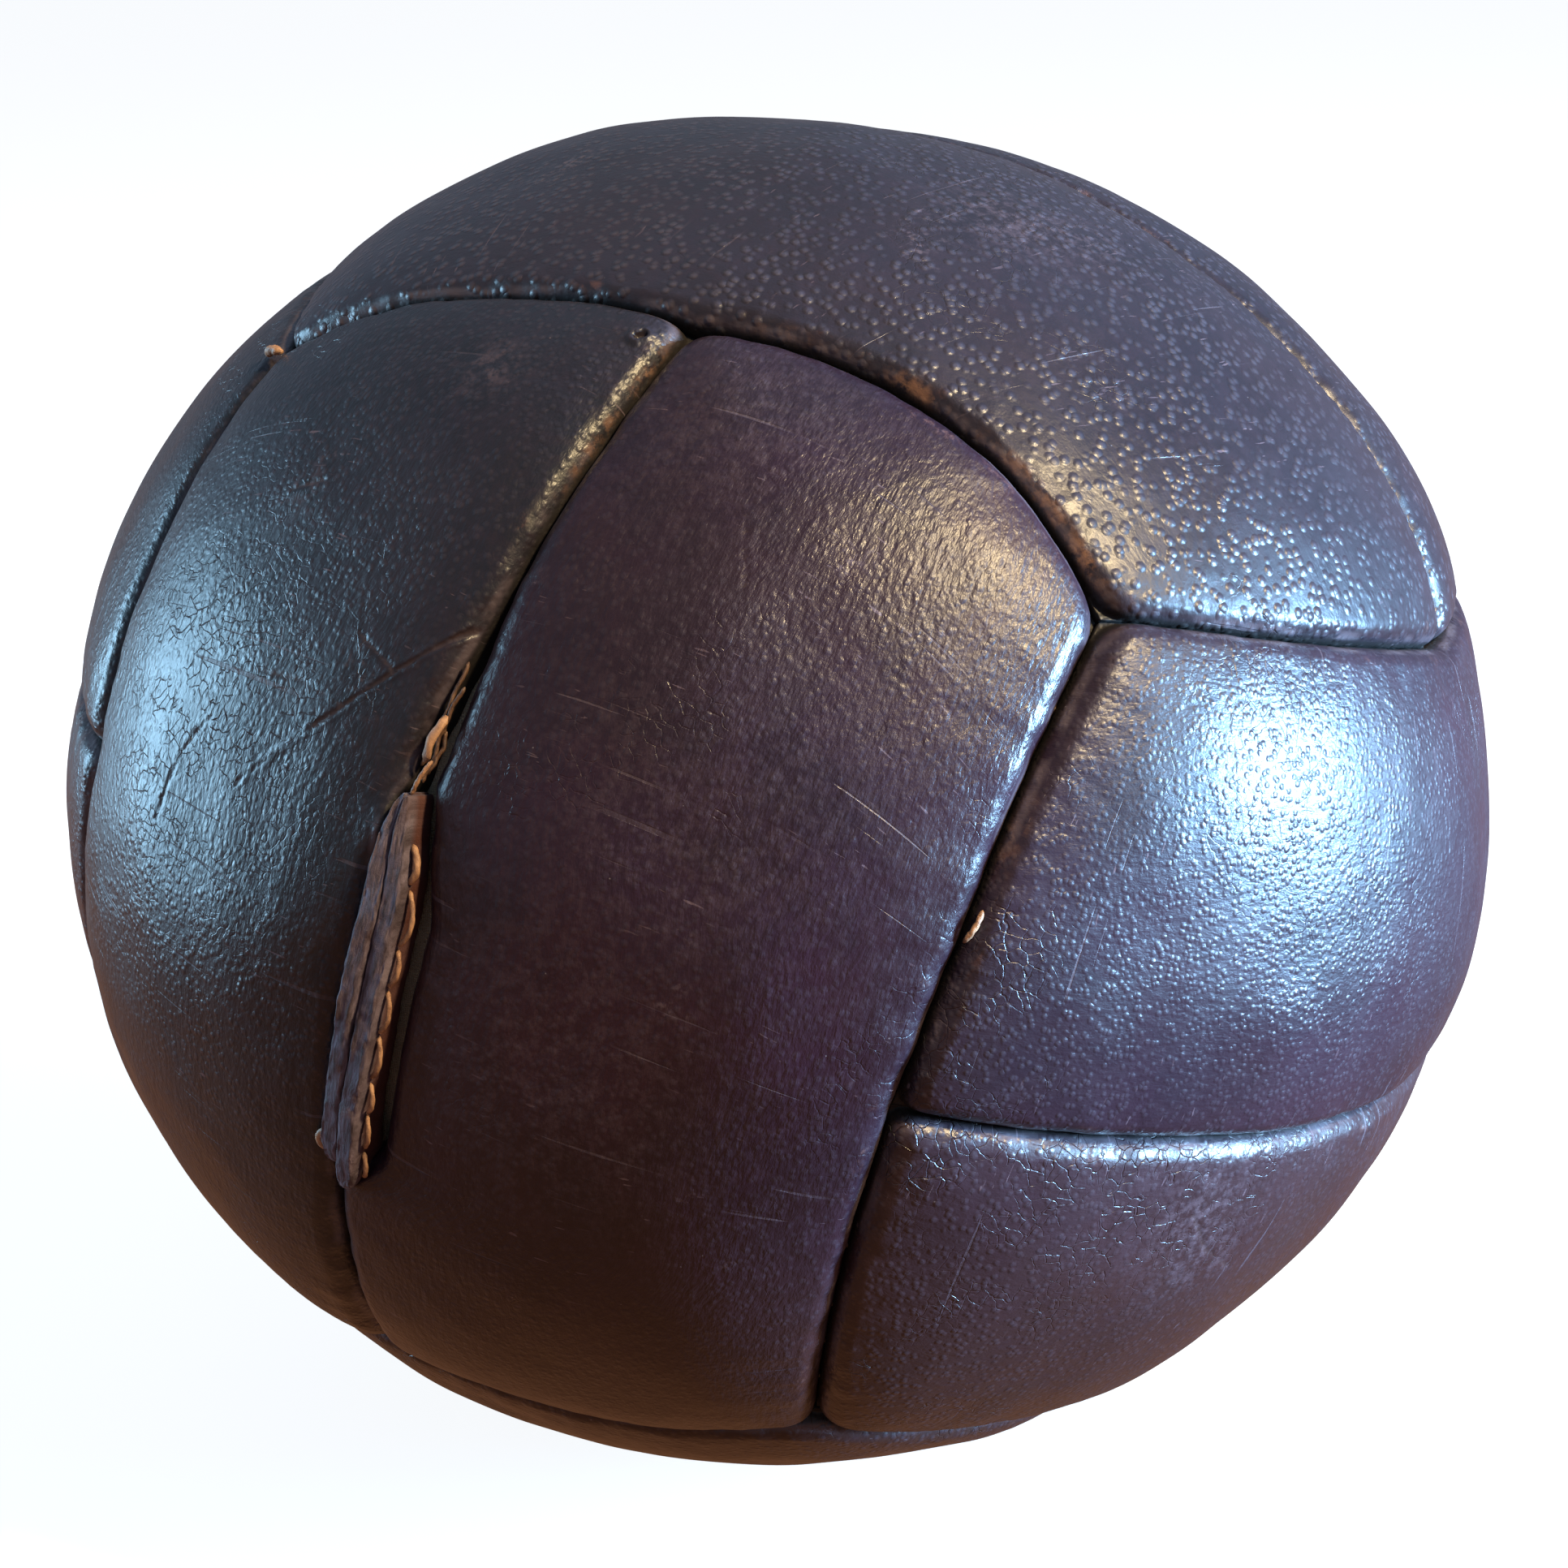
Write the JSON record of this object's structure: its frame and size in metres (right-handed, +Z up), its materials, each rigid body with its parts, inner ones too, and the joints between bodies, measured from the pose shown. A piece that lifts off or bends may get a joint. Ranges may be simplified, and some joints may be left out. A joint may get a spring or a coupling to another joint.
{
  "type": "medicine ball",
  "caption": "Slightly squashed stuffed leather exercise ball of sewn panels, with raised closing strips and visible hand stitching in front.",
  "frame": {"origin": "centre of the bounding box, on the floor under the ball's flat worn foot", "axes": "+Z up, along the squashed short axis; -Y faces the closing seam's side; +X to its right"},
  "size_m": [0.266, 0.266, 0.2465],
  "materials": {
    "cover_leather": "worn, waxed, semi-gloss",
    "raw_leather": "raw cut edge, matt and fibrous",
    "waxed_thread": "waxed linen",
    "seam_thread": "waxed linen",
    "wadding": "felted",
    "canvas": "woven, matt",
    "stuffing": "packed hair and rag"
  },
  "bodies": {
    "root": {"panel_front_left": "cover_leather", "panel_front_centre": "cover_leather", "panel_right_upper": "cover_leather", "panel_right_lower": "cover_leather", "panel_top_front": "cover_leather", "panel_top_back": "cover_leather", "panel_left_upper": "cover_leather", "panel_left_lower": "cover_leather", "panel_back_left": "cover_leather", "panel_back_right": "cover_leather", "panel_base_front": "cover_leather", "panel_base_back": "cover_leather", "closing_strip_left": "raw_leather", "closing_strip_right": "raw_leather", "closing_thread": "waxed_thread", "thread_front_middle": "seam_thread", "thread_front_top": "seam_thread", "thread_front_base": "seam_thread", "thread_right_middle": "seam_thread", "thread_right_front": "seam_thread", "thread_right_back": "seam_thread", "thread_top_middle": "seam_thread", "thread_top_right": "seam_thread", "thread_top_left": "seam_thread", "thread_left_middle": "seam_thread", "thread_left_front": "seam_thread", "thread_left_back": "seam_thread", "thread_base_middle": "seam_thread", "thread_base_right": "seam_thread", "thread_base_left": "seam_thread", "thread_back_middle": "seam_thread", "thread_back_top": "seam_thread", "thread_back_base": "seam_thread", "wadding": "wadding", "liner_bag": "canvas", "stuffing": "stuffing"}
  },
  "joints": []
}
